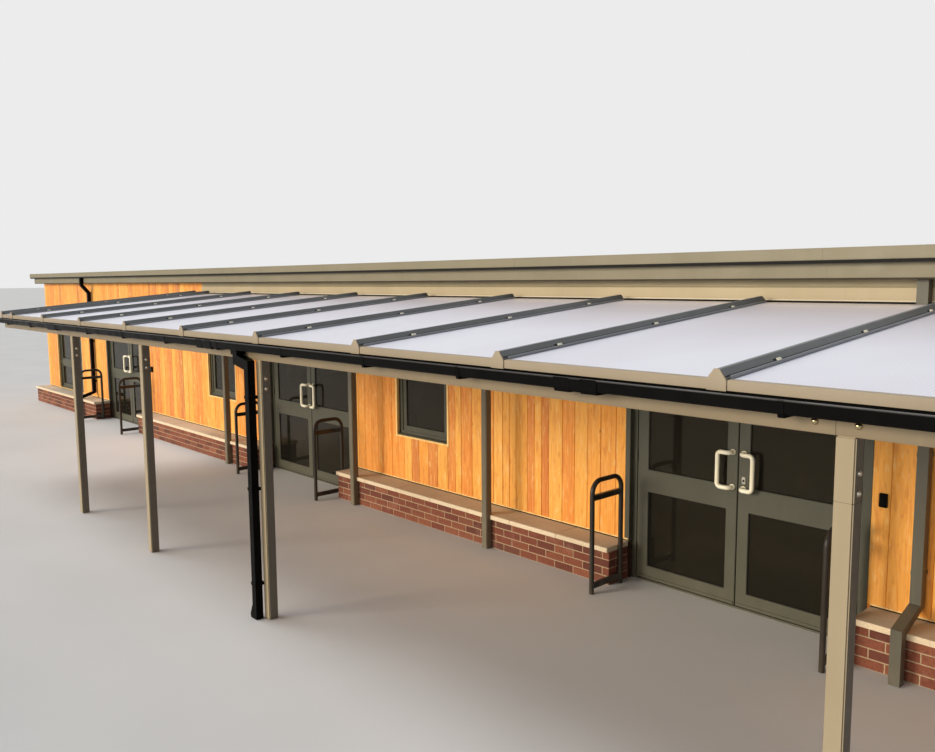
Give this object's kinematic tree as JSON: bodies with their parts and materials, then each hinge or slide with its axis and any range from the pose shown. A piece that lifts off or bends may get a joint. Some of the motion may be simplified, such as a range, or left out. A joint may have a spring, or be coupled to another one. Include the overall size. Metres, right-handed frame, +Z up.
{
  "type": "single-storey school building with canopy",
  "caption": "Flat-roofed timber-clad school building with brick plinth, hinged double doors, windows and a glazed lean-to canopy on square posts.",
  "frame": {"origin": "middle of the plan of the whole building with its canopy, at ground level", "axes": "+X to the right along the front, +Y from the front into the building, +Z up"},
  "size_m": [22.82, 11.408, 2.91],
  "materials": {
    "cedar_boards": "vertical cedar boards, clear, warm and varied",
    "brick": "red-brown facing brick in lime-grey mortar",
    "coping_stone": "cast stone, weathered",
    "floor_screed": "smooth grey screed",
    "roof_membrane": "grey roofing sheet with welded laps",
    "grey_paint": "dark grey-green powder coat, satin",
    "sage_paint": "sage grey powder coat",
    "beige_paint": "warm grey powder coat",
    "post_paint": "warm grey powder coat on square tube",
    "bar_paint": "dark grey powder coat",
    "opal_sheet": "opal multiwall polycarbonate",
    "black_pvc": "black rainwater plastic",
    "black_tube": "black coated steel tube",
    "ivory_nylon": "ivory nylon",
    "clear_glass": "double glazing, dark behind"
  },
  "bodies": {
    "building": {"floor_slab": "floor_screed", "front_wall_1": "cedar_boards", "front_wall_2": "cedar_boards", "front_wall_3": "cedar_boards", "front_wall_4": "cedar_boards", "wall_over_doors": "cedar_boards", "back_wall": "cedar_boards", "left_wall": "cedar_boards", "right_wall": "cedar_boards", "brick_plinth": "brick", "stone_coping": "coping_stone", "front_window_frames": "grey_paint", "rear_window_frames": "grey_paint", "window_glass": "clear_glass", "roof_deck": "roof_membrane", "roof_fascia": "sage_paint", "roof_edge": "sage_paint", "wall_flashing": "beige_paint", "door_1_frame": "grey_paint", "door_2_frame": "grey_paint", "door_3_frame": "grey_paint", "front_posts": "post_paint", "rear_posts": "grey_paint", "front_beam": "beige_paint", "wall_plate": "grey_paint", "glazing_bars": "bar_paint", "bar_caps": "bar_paint", "bar_end_caps": "beige_paint", "canopy_sheets": "opal_sheet", "eaves_trim": "beige_paint", "gutter": "black_pvc", "gutter_downpipe": "black_pvc", "black_downpipe": "black_pvc", "grey_downpipe": "grey_paint", "door_hoops": "black_tube", "door_buttons": "black_pvc"},
    "door_1_left": {"door_1_left_leaf": "grey_paint", "door_1_left_glass": "clear_glass", "door_1_left_handle": "ivory_nylon"},
    "door_1_right": {"door_1_right_leaf": "grey_paint", "door_1_right_glass": "clear_glass", "door_1_right_handle": "ivory_nylon"},
    "door_2_left": {"door_2_left_leaf": "grey_paint", "door_2_left_glass": "clear_glass", "door_2_left_handle": "ivory_nylon"},
    "door_2_right": {"door_2_right_leaf": "grey_paint", "door_2_right_glass": "clear_glass", "door_2_right_handle": "ivory_nylon"},
    "door_3_left": {"door_3_left_leaf": "grey_paint", "door_3_left_glass": "clear_glass", "door_3_left_handle": "ivory_nylon"},
    "door_3_right": {"door_3_right_leaf": "grey_paint", "door_3_right_glass": "clear_glass", "door_3_right_handle": "ivory_nylon"}
  },
  "joints": [
    {"name": "door_1_left_hinge", "type": "hinge", "parent": "building", "child": "door_1_left", "pos_m": [-7.353, -2.681, 0], "axis": [0, 0, -1], "range_deg": [0, 90]},
    {"name": "door_1_right_hinge", "type": "hinge", "parent": "building", "child": "door_1_right", "pos_m": [-5.387, -2.681, 0], "axis": [0, 0, 1], "range_deg": [0, 90]},
    {"name": "door_2_left_hinge", "type": "hinge", "parent": "building", "child": "door_2_left", "pos_m": [-0.983, -2.681, 0], "axis": [0, 0, -1], "range_deg": [0, 90]},
    {"name": "door_2_right_hinge", "type": "hinge", "parent": "building", "child": "door_2_right", "pos_m": [0.983, -2.681, 0], "axis": [0, 0, 1], "range_deg": [0, 90]},
    {"name": "door_3_left_hinge", "type": "hinge", "parent": "building", "child": "door_3_left", "pos_m": [5.387, -2.681, 0], "axis": [0, 0, -1], "range_deg": [0, 90]},
    {"name": "door_3_right_hinge", "type": "hinge", "parent": "building", "child": "door_3_right", "pos_m": [7.353, -2.681, 0], "axis": [0, 0, 1], "range_deg": [0, 90]}
  ]
}
